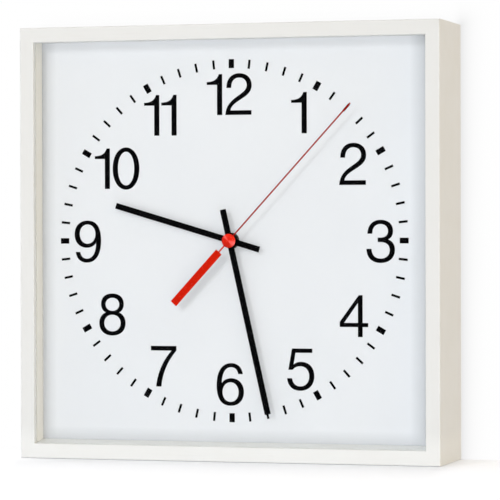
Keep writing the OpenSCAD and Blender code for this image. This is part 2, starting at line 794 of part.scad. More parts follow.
module centre_wheel() color("#e9d9a8") in_view() difference() {
    union() {
        bar(minute_pipe_r, centre_z - pipe_foot, minute_pipe_end);
        rotate(centre_turn) {
            wheel(centre_n, train_m, third_shift, centre_z, wheel_t, centre_hub_r);
            pinion(cannon_n, motion_m, motion_shift, cannon_z, pinion_t);
        }
    }
    bar(arbor_r + play, centre_z - 1, minute_pipe_end + 1);
}

module motion_wheel() color("#f2efe6") in_view() translate(motion_at) difference() {
    rotate(motion_turn) {
        wheel(motion_n, motion_m, motion_shift, motion_wheel_z, wheel_t, motion_hub_r);
        pinion(motion_pinion_n, motion_m, motion_shift, motion_wheel_z + wheel_t, motion_pinion_t);
    }
    bar(motion_post_r + play, motion_wheel_z - 1, plate_back);
}

module hour_wheel() color("#e9d9a8") in_view() difference() {
    union() {
        bar(hour_pipe_r, hour_wheel_z, hour_pipe_end);
        rotate(hour_turn)
            wheel(hour_n, motion_m, motion_shift, hour_wheel_z, hour_wheel_t, hour_hub_r);
    }
    bar(minute_pipe_r + play, hour_wheel_z - 1, hour_pipe_end + 1);
}

module setting_shaft() color("#f2efe6") in_view() translate(set_at) {
    bar(pivot_r, cannon_z, plate_back + pivot_deep);
    bar(set_shaft_r, move_back - knob_len + knob_skin, cannon_z + pinion_t);
    rotate(set_turn) pinion(set_n, motion_m, motion_shift, cannon_z, pinion_t);
}

// Knob with shallow flutes for the fingers
module setting_knob() color("#1d1d1f") in_view() translate([0, 0, move_back - knob_len])
    translate(set_at) difference() {
        union() {
            linear_extrude(knob_t)
                polygon([for (a = [0:5:355]) polar(knob_r + flute * cos(a * flutes), a)]);
            bar(knob_stem_r, 0, knob_stem);
        }
        bar(set_shaft_r, knob_skin, knob_len);
        bar(knob_hollow_r, -1, knob_hollow);
    }

// A flat hand with a round boss, pointing up from the axis
module hand(w, len, tail, z, boss_r, boss_low, boss_high, bore_r) difference() {
    union() {
        block([-w / 2, -tail, z], [w / 2, len, z + hand_t]);
        bar(boss_r, boss_low, boss_high);
    }
    bar(bore_r, boss_low - 1, boss_high + 1);
}

module hour_hand() color("#141414") in_view() rotate(-hour_dir)
    hand(hour_w, hour_len, hour_tail, hour_z, hour_boss_r, hour_z - boss_out, hour_z + hand_t,
        hour_pipe_r);

module minute_hand() color("#141414") in_view() rotate(-minute_dir)
    hand(minute_w, minute_len, minute_tail, minute_z, minute_boss_r, minute_z - minute_boss_out,
        minute_z + hand_t + minute_boss_over, minute_pipe_r);

module hand_nut() color("#c8a24a") in_view() difference() {
    translate([0, 0, hand_nut_z]) cylinder(r = hand_nut_r, h = hand_nut_t, $fn = 6);
    bar(minute_pipe_r, hand_nut_z - 1, hand_nut_z + 2);
}

module second_hand() color("#c41e14") in_view() rotate(-second_dir) difference() {
    union() {
        block([-needle_w / 2, -weight_start, second_z_front],
            [needle_w / 2, needle_len, second_z_front + needle_t]);
        block([-weight_w / 2, -weight_end, second_z_front],
            [weight_w / 2, -weight_start, second_z_front + needle_t]);
        bar(second_eye_r, second_z_front, second_z_front + needle_t);
        bar(second_tube_r, second_tube_z, second_z_front + needle_t);
    }
    bar(arbor_r, second_tube_z - 1, second_z_front + arbor_out);
}

module second_cap() color("#d8261c") in_view() translate([0, 0, second_z_front + needle_t])
    rotate_extrude() polygon([
        [0, 0], [cap_r - cap_round, 0], [cap_r, cap_round], [cap_r, cap_rim - cap_round],
        [cap_r - cap_round, cap_rim], [cap_r / 2, (cap_rim + cap_t + cap_round) / 2],
        [cap_flat_r, cap_t], [0, cap_t]]);

rail(0);  // rail_bottom
rail(1);  // rail_right
rail(2);  // rail_top
rail(3);  // rail_left
spacer(0);  // spacer_bottom
spacer(1);  // spacer_right
spacer(2);  // spacer_top
spacer(3);  // spacer_left
corner_fasteners();
glass();
dial();
minute_marks();
backing_board();
board_clips();
clip_screws();
hanger_plate();
hanger_screws();
rubber_washer();
centre_bush();
dial_washer();
fixing_nut();
movement_base();
middle_plate();
rear_bridge();
movement_cover();
circuit_board();
circuit_chip();
quartz_crystal();
stator();
coil_core();
coil_bobbin();
coil_winding();
coil_screws();
contact_plus();
contact_minus();
battery();
rotor_magnet();
rotor_pinion();
intermediate_wheel();
second_wheel();
third_wheel();
centre_wheel();
motion_wheel();
hour_wheel();
setting_shaft();
setting_knob();
hour_hand();
minute_hand();
hand_nut();
second_hand();
second_cap();
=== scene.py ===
# Looks of a square quartz wall clock: lacquered frame, enamelled dial with plain printed numerals,
# glass, painted hands and a battery movement. Everything is in metres, in the frame of the packed
# part: X to the right, Y into the wall, Z up. The origin is the hanging point on the wall plane.
import json
import math
import bpy
from mathutils import Matrix, Vector


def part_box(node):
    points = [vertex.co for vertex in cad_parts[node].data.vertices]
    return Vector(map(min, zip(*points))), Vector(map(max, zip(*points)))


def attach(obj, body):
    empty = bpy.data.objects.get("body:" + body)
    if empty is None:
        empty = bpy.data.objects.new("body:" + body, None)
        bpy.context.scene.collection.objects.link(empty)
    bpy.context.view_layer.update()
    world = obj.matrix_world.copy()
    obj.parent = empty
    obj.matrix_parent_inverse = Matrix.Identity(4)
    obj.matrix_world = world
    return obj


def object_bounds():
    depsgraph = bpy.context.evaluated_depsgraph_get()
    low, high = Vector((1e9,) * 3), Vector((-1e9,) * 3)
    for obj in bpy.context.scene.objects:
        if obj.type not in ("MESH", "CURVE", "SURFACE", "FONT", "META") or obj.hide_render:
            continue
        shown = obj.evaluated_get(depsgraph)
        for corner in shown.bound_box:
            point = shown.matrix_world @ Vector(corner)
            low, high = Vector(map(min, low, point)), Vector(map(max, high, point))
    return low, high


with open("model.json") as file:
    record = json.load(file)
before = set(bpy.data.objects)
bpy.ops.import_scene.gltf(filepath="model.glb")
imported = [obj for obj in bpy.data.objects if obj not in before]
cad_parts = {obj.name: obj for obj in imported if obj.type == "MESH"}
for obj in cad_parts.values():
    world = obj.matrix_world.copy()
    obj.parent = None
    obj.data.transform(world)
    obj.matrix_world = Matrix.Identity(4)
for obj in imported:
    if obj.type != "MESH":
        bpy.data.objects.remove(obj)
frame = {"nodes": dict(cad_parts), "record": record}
MM = 0.001
cad_box = [list(corner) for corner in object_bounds()]

# Places read from the frame
dial_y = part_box("dial")[0].y
print_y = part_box("minute_marks")[0].y
cap_low, cap_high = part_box("second_cap")
axis_x = (cap_low.x + cap_high.x) / 2
axis_z = (cap_low.z + cap_high.z) / 2
case_low, case_high = Vector(cad_box[0]), Vector(cad_box[1])
AXIS = (axis_x, 0, axis_z)


# Shader graphs

EVEN = (1, 1, 1)
WHITE = (1, 1, 1, 1)


class Graph:
    """A node tree, with short ways to add to it. Inputs are values, or outputs of other nodes."""

    def __init__(self, tree):
        self.tree = tree

    def node(self, kind, inputs=None, **settings):
        """Adds a shader node and gives its outputs."""
        made = self.tree.nodes.new("ShaderNode" + kind)
        for key, value in settings.items():
            setattr(made, key, value)
        for key, value in (inputs or {}).items():
            if isinstance(value, bpy.types.NodeSocket):
                self.tree.links.new(value, made.inputs[key])
            else:
                made.inputs[key].default_value = value
        return made.outputs

    def calc(self, operation, *values):
        """One operation on numbers."""
        return self.node("Math", dict(enumerate(values)), operation=operation)[0]

    def between(self, value, low, high, to_low=0, to_high=1):
        """Goes from to_low to to_high while value goes from low to high, and no further."""
        return self.node("MapRange", {0: value, 1: low, 2: high, 3: to_low, 4: to_high})[0]

    def scaled(self, vector, factor):
        """A vector or colour times a number."""
        return self.node("VectorMath", {0: vector, "Scale": factor}, operation="SCALE")[0]

    def dot(self, vector, direction):
        """How far a vector reaches along a direction."""
        inputs = {0: vector, 1: direction}
        return self.node("VectorMath", inputs, operation="DOT_PRODUCT")["Value"]

    def parts(self, vector):
        """The X, Y and Z of a vector."""
        return self.node("SeparateXYZ", {0: vector})

    def seen(self, path):
        """1 for the rays by which the camera sees a thing, directly, mirrored or through glass."""
        mirrored = self.calc("MAXIMUM", path["Is Glossy Ray"], path["Is Transmission Ray"])
        return self.calc("MAXIMUM", path["Is Camera Ray"], mirrored)


class Finish(Graph):
    """A Principled material whose colour, roughness and bump come from procedural layers."""

    def __init__(self, name, color, roughness, sockets=None):
        self.material = bpy.data.materials.new(name)
        self.material.use_nodes = True
        super().__init__(self.material.node_tree)
        self.shader = self.tree.nodes["Principled BSDF"]
        self.color = color
        self.shader.inputs["Base Color"].default_value = (*color, 1)
        self.shader.inputs["Roughness"].default_value = roughness
        for socket, value in (sockets or {}).items():
            self.shader.inputs[socket].default_value = value
        self.place = self.node("TexCoord")["Object"]

    def stretched(self, stretch=EVEN, centre=(0, 0, 0)):
        """Object coordinates in metres, moved to a centre and scaled along each axis."""
        moved = self.node("VectorMath", {0: self.place, 1: centre}, operation="SUBTRACT")[0]
        return self.node("VectorMath", {0: moved, 1: stretch}, operation="MULTIPLY")[0]

    def noise(self, size, detail=3, stretch=EVEN, distortion=0.0):
        """Noise whose features are about size metres across."""
        return self.node("TexNoise", {"Vector": self.stretched(stretch), "Scale": 1 / size,
                                      "Detail": detail, "Distortion": distortion})["Fac"]

    def cells(self, size):
        """One random value for each cell, with cells about size metres across."""
        made = self.node("TexVoronoi", {"Vector": self.stretched(), "Scale": 1 / size})
        return self.node("SeparateColor", {0: made["Color"]})[0]

    def rings(self, pitch, centre, distortion):
        """Turning marks: rings about an axis along Y through centre."""
        inputs = {"Vector": self.stretched((1, 0, 1), centre), "Scale": 0.5 / pitch / math.pi,
                  "Distortion": distortion, "Detail": 2.0}
        return self.node("TexWave", inputs, wave_type="RINGS", rings_direction="SPHERICAL")["Fac"]

    def facing(self):
        """How far the surface looks into the wall, along Y."""
        return self.parts(self.node("NewGeometry")["True Normal"])[1]

    def tint(self, value, color, low=0.35, high=0.65):
        """Mixes the base colour towards another where value goes from low to high."""
        base = self.shader.inputs["Base Color"]
        before = base.links[0].from_socket if base.links else (*self.color, 1)
        inputs = {"Factor": self.between(value, low, high), 6: before, 7: (*color, 1)}
        self.tree.links.new(self.node("Mix", inputs, data_type="RGBA")[2], base)
        return self

    def lighten(self, factor):
        """Multiplies the base colour, which is tinted already, by a factor from the graph."""
        base = self.shader.inputs["Base Color"]
        self.tree.links.new(self.scaled(base.links[0].from_socket, factor), base)
        return self

    def gloss(self, value, to_low, to_high, low=0.3, high=0.7):
        """Roughness that follows value."""
        followed = self.between(value, low, high, to_low, to_high)
        self.tree.links.new(followed, self.shader.inputs["Roughness"])
        return self

    def relief(self, value, height):
        """Bump of a real height in metres, on top of any relief already there."""
        normal = self.shader.inputs["Normal"]
        inputs = {"Height": value, "Distance": height}
        if normal.links:
            inputs["Normal"] = normal.links[0].from_socket
        self.tree.links.new(self.node("Bump", inputs)[0], normal)
        return self


# Finishes. Colours are linear, and the sizes of grain, texture and relief are in metres.

LACQUER = Vector((0.797, 0.808, 0.803))
LACQUER_CLOUD = Vector((0.785, 0.794, 0.784))
LACQUER_GRAIN = Vector((0.777, 0.784, 0.772))

# Painted light: the lacquer is made lighter in the lowest part of the case, as if lit by the floor:
# the heights over the foot of the case up to which it is so a little and in full, and by how much
PAINTED_LIGHT_ENDS, PAINTED_LIGHT_FULL, PAINTED_LIGHT_FACTOR = 0.023, 0.012, 1.07


def lacquer(name, stretch, painted_light_tone):
    """Sprayed satin lacquer over fine wood, whose grain shows faintly along the rail."""
    made = Finish(name, painted_light_tone * LACQUER, 0.42, {"Coat Weight": 0.15, "Coat Roughness": 0.3})
    grain = made.noise(0.0012, 5, stretch, 0.4)
    made.tint(made.noise(0.05, 2), painted_light_tone * LACQUER_CLOUD, 0.4, 0.75)
    made.tint(grain, painted_light_tone * LACQUER_GRAIN, 0.55, 0.8)
    # Painted light: the colour grows lighter towards the foot of the case
    height = made.parts(made.place)[2]
    made.lighten(made.between(height, case_low.z + PAINTED_LIGHT_ENDS, case_low.z + PAINTED_LIGHT_FULL,
                              1, PAINTED_LIGHT_FACTOR))
    made.gloss(made.noise(0.012, 4), 0.36, 0.5)
    made.relief(grain, 0.00001)
    return made.relief(made.noise(0.0009, 2), 0.000012)


# Painted shade on the dial, where the deep frame keeps some light from its edge: the strip beside
# it, the axis across it, which corner of the strip's box lies at the dial, and from where to where
# along that axis the shade grows, counted from that corner
DIAL_SHADE = (0.58, 0.6, 0.64)
DIAL_SHADES = [
    ("spacer_left", 0, 1, 0.0105, -0.001),
    ("spacer_right", 0, 0, -0.0128, -0.0022),
    ("spacer_bottom", 2, 1, 0.009, -0.003)]

# Painted shadow in the gap beside the left strip: its colour, its width at the bottom, and its soft
# edge
GAP_SHADOW = (0.68, 0.68, 0.69)
GAP_SHADOW_WIDTH = 0.0009
GAP_SHADOW_EDGE = GAP_SHADOW_WIDTH * 0.4


def enamel():
    """White enamel; painted shade by the strips and a painted gap shadow by the left, widening
    down.
    """
    made = Finish("dial_enamel", (0.835, 0.856, 0.905), 0.5)
    made.tint(made.noise(0.06, 2), (0.82, 0.842, 0.893), 0.4, 0.7)
    place = made.parts(made.place)
    # Painted shade beside each strip
    for side, axis, corner, start, end in DIAL_SHADES:
        away = made.calc("SUBTRACT", place[axis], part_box(side)[corner][axis])
        made.tint(away, DIAL_SHADE, start, end)
    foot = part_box("spacer_left")[1].x
    # Painted shadow in the gap beside the left strip, wider towards the bottom
    width = made.between(place[2], case_high.z, case_low.z, 0, GAP_SHADOW_WIDTH)
    inside = made.calc("SUBTRACT", made.calc("ADD", width, foot), place[0])
    made.tint(inside, GAP_SHADOW, 0, GAP_SHADOW_EDGE)
    made.gloss(made.noise(0.004, 3), 0.46, 0.56)
    return made.relief(made.noise(0.0005, 2), 0.000006)


def printed_ink():
    """Matt black ink, which hardly mirrors."""
    made = Finish("printed_ink", (0.001, 0.001, 0.0015), 0.55, {"Specular IOR Level": 0.01})
    made.tint(made.noise(0.0004, 2), (0.002, 0.002, 0.0025), 0.45, 0.7)
    made.gloss(made.noise(0.002, 3), 0.5, 0.62)
    return made.relief(made.noise(0.0002, 2), 0.000008)


# Below this share of its normal along Y, a face of the glass belongs to its edge
GLASS_EDGE = 0.5


def clear_glass():
    """Coated glass with hardly any reflection, whose edges are clear.

    Light for the dial passes straight through it."""
    made = Finish("clear_glass", (0.985, 0.995, 0.99), 0.0,
                  {"Transmission Weight": 1.0, "IOR": 1.06})
    made.gloss(made.noise(0.05, 2), 0.0, 0.02, 0.6, 0.9)
    path = made.node("LightPath")
    lighting = made.calc("MAXIMUM", path["Is Shadow Ray"], path["Is Diffuse Ray"])
    edge = made.calc("LESS_THAN", made.calc("ABSOLUTE", made.facing()), GLASS_EDGE)
    clear = made.node("BsdfTransparent", {"Color": (0.985, 0.99, 0.988, 1)})[0]
    both = made.node("MixShader", {0: made.calc("MAXIMUM", lighting, edge),
                                   1: made.shader.outputs[0], 2: clear})[0]
    made.tree.links.new(both, made.tree.nodes["Material Output"].inputs["Surface"])
    return made


def hardboard():
    """Pressed brown wood fibre, with lighter and darker flecks."""
    made = Finish("hardboard", (0.26, 0.15, 0.075), 0.62)
    fibre = made.noise(0.0011, 6, (1, 1, 0.35), 1.2)
    made.tint(made.noise(0.02, 4), (0.2, 0.11, 0.052), 0.35, 0.7)
    made.tint(fibre, (0.37, 0.235, 0.125), 0.52, 0.72)
    made.tint(made.noise(0.0006, 3, (0.4, 1, 1)), (0.13, 0.07, 0.035), 0.58, 0.72)
    made.gloss(fibre, 0.5, 0.72)
    return made.relief(fibre, 0.00005)


def metal(name, color, dark, roughness, stretch=EVEN, spangle=0.0):
    """Plated or rolled metal with a directional grain, and spangles where asked for."""
    made = Finish(name, color, roughness, {"Metallic": 1.0})
    brushed = made.noise(0.0002, 4, stretch)
    made.tint(brushed, dark, 0.4, 0.75)
    made.gloss(made.noise(0.004, 4), roughness * 0.8, roughness * 1.25)
    if spangle:
        made.tint(made.cells(spangle), dark, 0.2, 1.6)
    return made.relief(brushed, 0.000005)


# Distance between two rings from the lathe, and how much they waver
RING_PITCH = 0.00018
RING_WAVER = 0.6


def turned(name, color, dark, roughness, lift):
    """Metal turned on a lathe about the axis of the hands, with fine rings."""
    made = Finish(name, color, roughness, {"Metallic": 1.0})
    made.tint(made.noise(0.003, 3), dark, 0.45, 0.8)
    made.gloss(made.noise(0.0012, 3), roughness * 0.8, roughness * 1.3)
    return made.relief(made.rings(RING_PITCH, AXIS, RING_WAVER), lift)


def moulded(name, color, other, roughness, texture=0.00035, lift=0.00002, sockets=None):
    """Moulded plastic with a spark-eroded texture and faint flow marks."""
    made = Finish(name, color, roughness, sockets)
    made.tint(made.noise(0.008, 3, (1, 1, 0.5)), other, 0.4, 0.7)
    made.gloss(made.noise(0.0015, 3), roughness * 0.88, roughness * 1.14)
    return made.relief(made.noise(texture, 3), lift)


def acetal(name, color, other, roughness, lift, milky):
    """A moulded plastic that light enters a little way."""
    return moulded(name, color, other, roughness, 0.0006, lift,
                   {"Subsurface Weight": milky, "Subsurface Scale": 0.001})


def painted(name, color, other, roughness, specular):
    """Matt sprayed paint on thin sheet, with the brushed sheet showing faintly."""
    made = Finish(name, color, roughness, {"Specular IOR Level": specular})
    made.tint(made.noise(0.003, 3), other, 0.4, 0.75)
    made.gloss(made.noise(0.0008, 3), roughness * 0.85, roughness * 1.2)
    return made.relief(made.noise(0.0003, 2), 0.000006)


def red_hand():
    """Red on the front of the second hand, deeper on its fine needle. The back is left dark."""
    made = painted("hand_red", (0.67, 0.013, 0.002), (0.6, 0.011, 0.002), 0.35, 0.02)
    low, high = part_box("second_hand")
    along = made.dot(made.stretched(EVEN, AXIS), (high.x - axis_x, 0, high.z - axis_z))
    made.tint(along, (0.36, 0.003, 0.003), 0, 0.0001)
    return made.tint(made.facing(), (0.02, 0.02, 0.02), 0.4, 0.6)


# Painted highlight, a pale bow on the cap: each side's direction, and the cosines between which it
# comes up
CAP_PAINTED_HIGHLIGHT = [((0.87, 0, -0.5), 0.8, 0.985), ((-0.68, 0, 0.73), 0.95, 0.998)]


def spun_cap():
    """Red anodised aluminium turned on a lathe, with a pale bow of painted highlight across it."""
    made = turned("cap_red", (0.43, 0.014, 0.0055), (0.385, 0.012, 0.005), 0.5, 0.00001)
    outwards = made.stretched((1, 0, 1), AXIS)
    around = made.node("VectorMath", {0: outwards}, operation="NORMALIZE")[0]
    # Painted highlight: the colour is made paler in a bow across the axis
    for direction, low, high in CAP_PAINTED_HIGHLIGHT:
        made.tint(made.dot(around, direction), (0.56, 0.075, 0.066), low, high)
    return made


def circuit():
    """Green solder mask over copper tracks, which raise and lighten it."""
    made = Finish("solder_mask", (0.012, 0.075, 0.03), 0.32,
                  {"Coat Weight": 0.4, "Coat Roughness": 0.2})
    tracks = made.node("TexBrick", {"Vector": made.stretched(), "Scale": 700.0,
                                    "Mortar Size": 0.28, "Brick Width": 2.6,
                                    "Row Height": 0.9})["Fac"]
    made.tint(tracks, (0.04, 0.17, 0.07), 0.4, 0.6)
    made.gloss(made.noise(0.002, 3), 0.25, 0.4)
    return made.relief(tracks, 0.00003)


def wound_copper():
    """Enamelled wire laid in turns across the length of the coil, which lies along Z."""
    made = Finish("wound_copper", (0.62, 0.22, 0.08), 0.28,
                  {"Metallic": 1.0, "Coat Weight": 0.6, "Coat Roughness": 0.15})
    low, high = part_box("coil_winding")
    inputs = {"Vector": made.stretched(EVEN, (low + high) / 2), "Scale": 850.0,
              "Distortion": 0.6, "Detail": 1.0}
    turns = made.node("TexWave", inputs, wave_type="BANDS", bands_direction="Z")["Fac"]
    made.tint(turns, (0.3, 0.08, 0.03), 0.2, 0.6)
    made.gloss(turns, 0.2, 0.4)
    return made.relief(turns, 0.00006)


# The cell: how far from its ends the band and the bare steel begin, and where they are complete
CELL_BAND = (0.0165, 0.0163)
CELL_PLUS = (0.0021, 0.002)
CELL_MINUS = (0.0011, 0.001)


def cell_jacket():
    """A plain printed cell: bare steel ends, a dark jacket and one band near the positive end."""
    low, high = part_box("battery")
    made = Finish("cell_jacket", (0.02, 0.045, 0.12), 0.3,
                  {"Coat Weight": 0.5, "Coat Roughness": 0.12})
    along = made.parts(made.place)[0]
    band = made.between(along, *(high.x - inset for inset in CELL_BAND))
    plus_end = made.between(along, *(high.x - inset for inset in CELL_PLUS))
    minus_end = made.between(along, *(low.x + inset for inset in CELL_MINUS))
    ends = made.calc("MAXIMUM", plus_end, minus_end)
    made.tint(made.noise(0.02, 2), (0.03, 0.06, 0.15), 0.4, 0.7)
    made.tint(band, (0.62, 0.36, 0.09), 0.4, 0.6)
    made.tint(ends, (0.66, 0.66, 0.67), 0.4, 0.6)
    made.tree.links.new(ends, made.shader.inputs["Metallic"])
    made.gloss(made.noise(0.003, 3), 0.22, 0.36)
    return made.relief(made.noise(0.0006, 2), 0.000008)


# The grain is drawn out along its rail: its scale on each axis
GRAIN_X, GRAIN_Z = (0.06, 1, 1), (1, 1, 0.06)
RAIL_GRAIN = {"bottom": GRAIN_X, "top": GRAIN_X, "left": GRAIN_Z, "right": GRAIN_Z}

# Rolled strip with its grain along Z
ROLLED = (1, 1, 0.1)

# Painted light: the left strip is a little lighter and warmer than the rest, as if lit from the
# right
PAINTED_LIGHT_TONES = {"spacer_left": (1.12, 1.085, 1.03)}


def finishes():
    """The finish of every material slot, and of the nodes that differ from their slot's finish."""
    by_slot = {
        "glass": clear_glass(),
        "dial_white": enamel(),
        "ink": printed_ink(),
        "hardboard": hardboard(),
        "zinc_steel": metal("zinc_steel", (0.6, 0.62, 0.64), (0.44, 0.46, 0.49), 0.36,
                            spangle=0.004),
        "brass": metal("brass", (0.72, 0.48, 0.17), (0.56, 0.35, 0.11), 0.3),
        "rubber": moulded("rubber", (0.018, 0.018, 0.018), (0.03, 0.03, 0.029), 0.75),
        "black_plastic": moulded("black_plastic", (0.012, 0.012, 0.013), (0.019, 0.019, 0.02),
                                 0.42),
        "natural_plastic": acetal("natural_acetal", (0.72, 0.69, 0.6), (0.66, 0.62, 0.52), 0.4,
                                  0.000012, 0.15),
        "gear_plastic": acetal("white_acetal", (0.82, 0.8, 0.74), (0.76, 0.73, 0.66), 0.34,
                               0.000008, 0.15),
        "gear_brass": acetal("yellow_acetal", (0.72, 0.56, 0.24), (0.62, 0.46, 0.18), 0.34,
                             0.000008, 0.1),
        "circuit_green": circuit(),
        "chip_black": moulded("epoxy_drop", (0.006, 0.006, 0.006), (0.012, 0.012, 0.011), 0.2),
        "crystal_can": metal("tinned_can", (0.76, 0.76, 0.74), (0.6, 0.6, 0.59), 0.22),
        "soft_iron": metal("soft_iron", (0.4, 0.4, 0.41), (0.28, 0.28, 0.29), 0.4, ROLLED),
        "copper": wound_copper(),
        "plated_steel": metal("plated_steel", (0.74, 0.73, 0.7), (0.6, 0.59, 0.57), 0.24, ROLLED),
        "cell_jacket": cell_jacket(),
        "magnet": moulded("sintered_magnet", (0.05, 0.05, 0.055), (0.085, 0.085, 0.09), 0.5,
                          sockets={"Metallic": 0.7}),
        "hand_black": painted("hand_black", (0.001, 0.001, 0.0014), (0.002, 0.002, 0.0025),
                              0.42, 0.01),
        "hand_red": red_hand(),
        "cap_red": spun_cap(),
    }
    # The fixing nut and its washer: turned brass coloured nearly black
    dark_brass = turned("dark_turned_brass", (0.05, 0.043, 0.03), (0.022, 0.02, 0.017), 0.34,
                       0.000006)
    by_node = {"fixing_nut": dark_brass, "dial_washer": dark_brass}
    for side, stretch in RAIL_GRAIN.items():
        for piece in ("rail_" + side, "spacer_" + side):
            by_node[piece] = lacquer("lacquer_" + piece, stretch, Vector(PAINTED_LIGHT_TONES.get(piece, EVEN)))
    return by_slot, by_node


def dress(by_slot, by_node):
    """Gives every node its finish in its material slots. The meshes stay as they are."""
    slot_of = {part["node"]: part["material_slot"] for part in frame["record"]["subparts"]}
    for name, shown in frame["nodes"].items():
        finish = by_node.get(name) or by_slot[slot_of[name]]
        shown.data.materials.clear()
        shown.data.materials.append(finish.material)


# Numerals, drawn in millimetres from the left of the base line. A pair of numbers is a corner. A
# step that starts with "x" or "y" is a quarter of a rounded oval that leaves along that axis, and
# one that starts with "c" is a free curve: its two handles and its end.

# How far along a quarter of an oval its handles reach
ROUND = 0.58


def oval(left, right, low, high):
    """A closed rounded oval."""
    mid_x, mid_y = (left + right) / 2, (low + high) / 2
    return [(mid_x, high), ("x", right, mid_y), ("y", mid_x, low), ("x", left, mid_y),
            ("y", mid_x, high)]


DIGIT_HEIGHT = 28.2
DIGITS = {
    "0": [oval(0, 19.6, -0.6, 28.8), oval(3.8, 15.8, 2.4, 25.8)],
    "1": [[(7.4, 0), (11.1, 0), (11.1, 28.2), (8.7, 28.2), ("c", 7.6, 24.7, 5.2, 22.9, 0, 22.9),
           (0, 20.9), (7.4, 20.9)]],
    "2": [[(0, 0), (18.7, 0), (18.7, 3.1), (3.6, 3.1), ("c", 4.8, 10.4, 18.9, 11.2, 18.9, 20.2),
           ("c", 18.9, 25.2, 15.4, 28.6, 10.0, 28.6), ("c", 4.4, 28.6, 0.7, 24.9, 0.8, 18.6),
           (4.2, 18.6), ("c", 4.1, 23.2, 6.4, 25.6, 9.9, 25.6),
           ("c", 13.3, 25.6, 15.4, 23.5, 15.4, 20.2), ("c", 15.4, 13.4, 0.4, 12.6, 0, 0)]],
    "3": [[(0.7, 19.3), ("c", 0.8, 25.0, 4.4, 28.7, 9.8, 28.7),
           ("c", 15.2, 28.7, 18.6, 25.8, 18.6, 21.2), ("c", 18.6, 18.4, 17.4, 16.4, 15.2, 15.4),
           ("c", 18.2, 14.2, 19.9, 11.8, 19.9, 8.3), ("c", 19.9, 3.0, 16.0, -0.6, 10.0, -0.6),
           ("c", 3.8, -0.6, 0.1, 3.0, 0, 9.0), (3.5, 9.0), ("c", 3.7, 4.8, 6.0, 2.4, 10.0, 2.4),
           ("c", 14.0, 2.4, 16.3, 4.8, 16.3, 8.2), ("c", 16.3, 11.6, 13.8, 13.6, 9.8, 13.6),
           (7.9, 13.6), (7.9, 16.6), (9.8, 16.6), ("c", 13.2, 16.6, 15.1, 18.3, 15.1, 21.1),
           ("c", 15.1, 24.0, 13.0, 25.8, 9.8, 25.8), ("c", 6.3, 25.8, 4.2, 23.6, 4.1, 19.3)]],
    "4": [[(12.8, 0), (16.1, 0), (16.1, 6.8), (20, 6.8), (20, 9.6), (16.1, 9.6), (16.1, 28.5),
           (13.4, 28.5), (0, 10.3), (0, 6.8), (12.8, 6.8)],
          [(3.1, 9.6), (12.8, 9.6), (12.8, 23.2)]],
    "5": [[(3.6, 28.3), (18.0, 28.3), (18.0, 25.4), (6.1, 25.4), (4.7, 17.3),
           ("c", 6.2, 18.6, 8.0, 19.2, 10.2, 19.2), ("c", 15.7, 19.2, 19.4, 15.3, 19.4, 9.6),
           ("c", 19.4, 3.4, 15.4, -0.6, 9.4, -0.6), ("c", 4.0, -0.6, 0.5, 2.6, 0.1, 7.9),
           (3.6, 7.9), ("c", 4.1, 4.4, 6.2, 2.4, 9.5, 2.4),
           ("c", 13.3, 2.4, 15.8, 5.2, 15.8, 9.4), ("c", 15.8, 13.4, 13.3, 16.2, 9.5, 16.2),
           ("c", 7.2, 16.2, 5.4, 15.4, 4.1, 13.7), (1.0, 13.7)]],
    "6": [[(18.8, 21.3), ("c", 18.2, 26.0, 15.2, 28.8, 10.6, 28.8),
           ("c", 3.6, 28.8, 0.0, 22.8, 0.0, 13.2), ("c", 0.0, 4.2, 3.4, -0.6, 9.9, -0.6),
           ("c", 15.8, -0.6, 19.6, 3.2, 19.6, 9.0), ("c", 19.6, 14.6, 15.8, 18.4, 10.6, 18.4),
           ("c", 7.8, 18.4, 5.2, 17.3, 3.7, 14.9), ("c", 3.8, 21.8, 6.2, 26.0, 10.5, 26.0),
           ("c", 13.2, 26.0, 15.0, 24.3, 15.5, 21.3)],
          [(4.2, 8.8), ("y", 10.0, 15.6), ("x", 15.8, 8.8), ("y", 10.0, 2.1), ("x", 4.2, 8.8)]],
    "7": [[(0, 28.2), (18.6, 28.2), (18.6, 25.0), ("c", 12.4, 18.2, 8.2, 9.0, 7.6, 0), (3.8, 0),
           ("c", 4.6, 9.0, 8.6, 18.0, 15.0, 25.0), (0, 25.0)]],
    "8": [[(9.6, 28.7), ("c", 14.8, 28.7, 18.0, 25.9, 18.0, 21.4),
           ("c", 18.0, 18.7, 16.8, 16.6, 14.6, 15.5), ("c", 17.6, 14.2, 19.3, 11.6, 19.3, 8.2),
           ("c", 19.3, 2.9, 15.6, -0.6, 9.6, -0.6), ("c", 3.6, -0.6, 0, 2.9, 0, 8.2),
           ("c", 0, 11.6, 1.7, 14.2, 4.7, 15.5), ("c", 2.5, 16.6, 1.3, 18.7, 1.3, 21.4),
           ("c", 1.3, 25.9, 4.4, 28.7, 9.6, 28.7)],
          oval(3.6, 15.7, 2.3, 13.9), oval(4.6, 14.7, 16.6, 25.7)],
}

# A nine is a six turned round. Both numbers are the right and upper edge of a six.
SIX_SIZE = (19.6, 28.2)

# Distance between the left sides of the two digits of a numeral
TENS_STEP = {"10": 13.2, "11": 12.6, "12": 13.4}

# Centre of each numeral in millimetres from the axis of the hands
NUMERAL_AT = {
    "1": (48.2, 87.5), "2": (86.0, 52.0), "3": (105.5, -0.5), "4": (86.7, -51.5),
    "5": (49.0, -88.0), "6": (-1.3, -99.0), "7": (-49.5, -87.0), "8": (-87.0, -51.3),
    "9": (-105.0, -0.5), "10": (-83.3, 50.3), "11": (-51.5, 87.0), "12": (-1.6, 100.7)}

# Straight pieces that replace each curve of an outline
CURVE_STEPS = 12


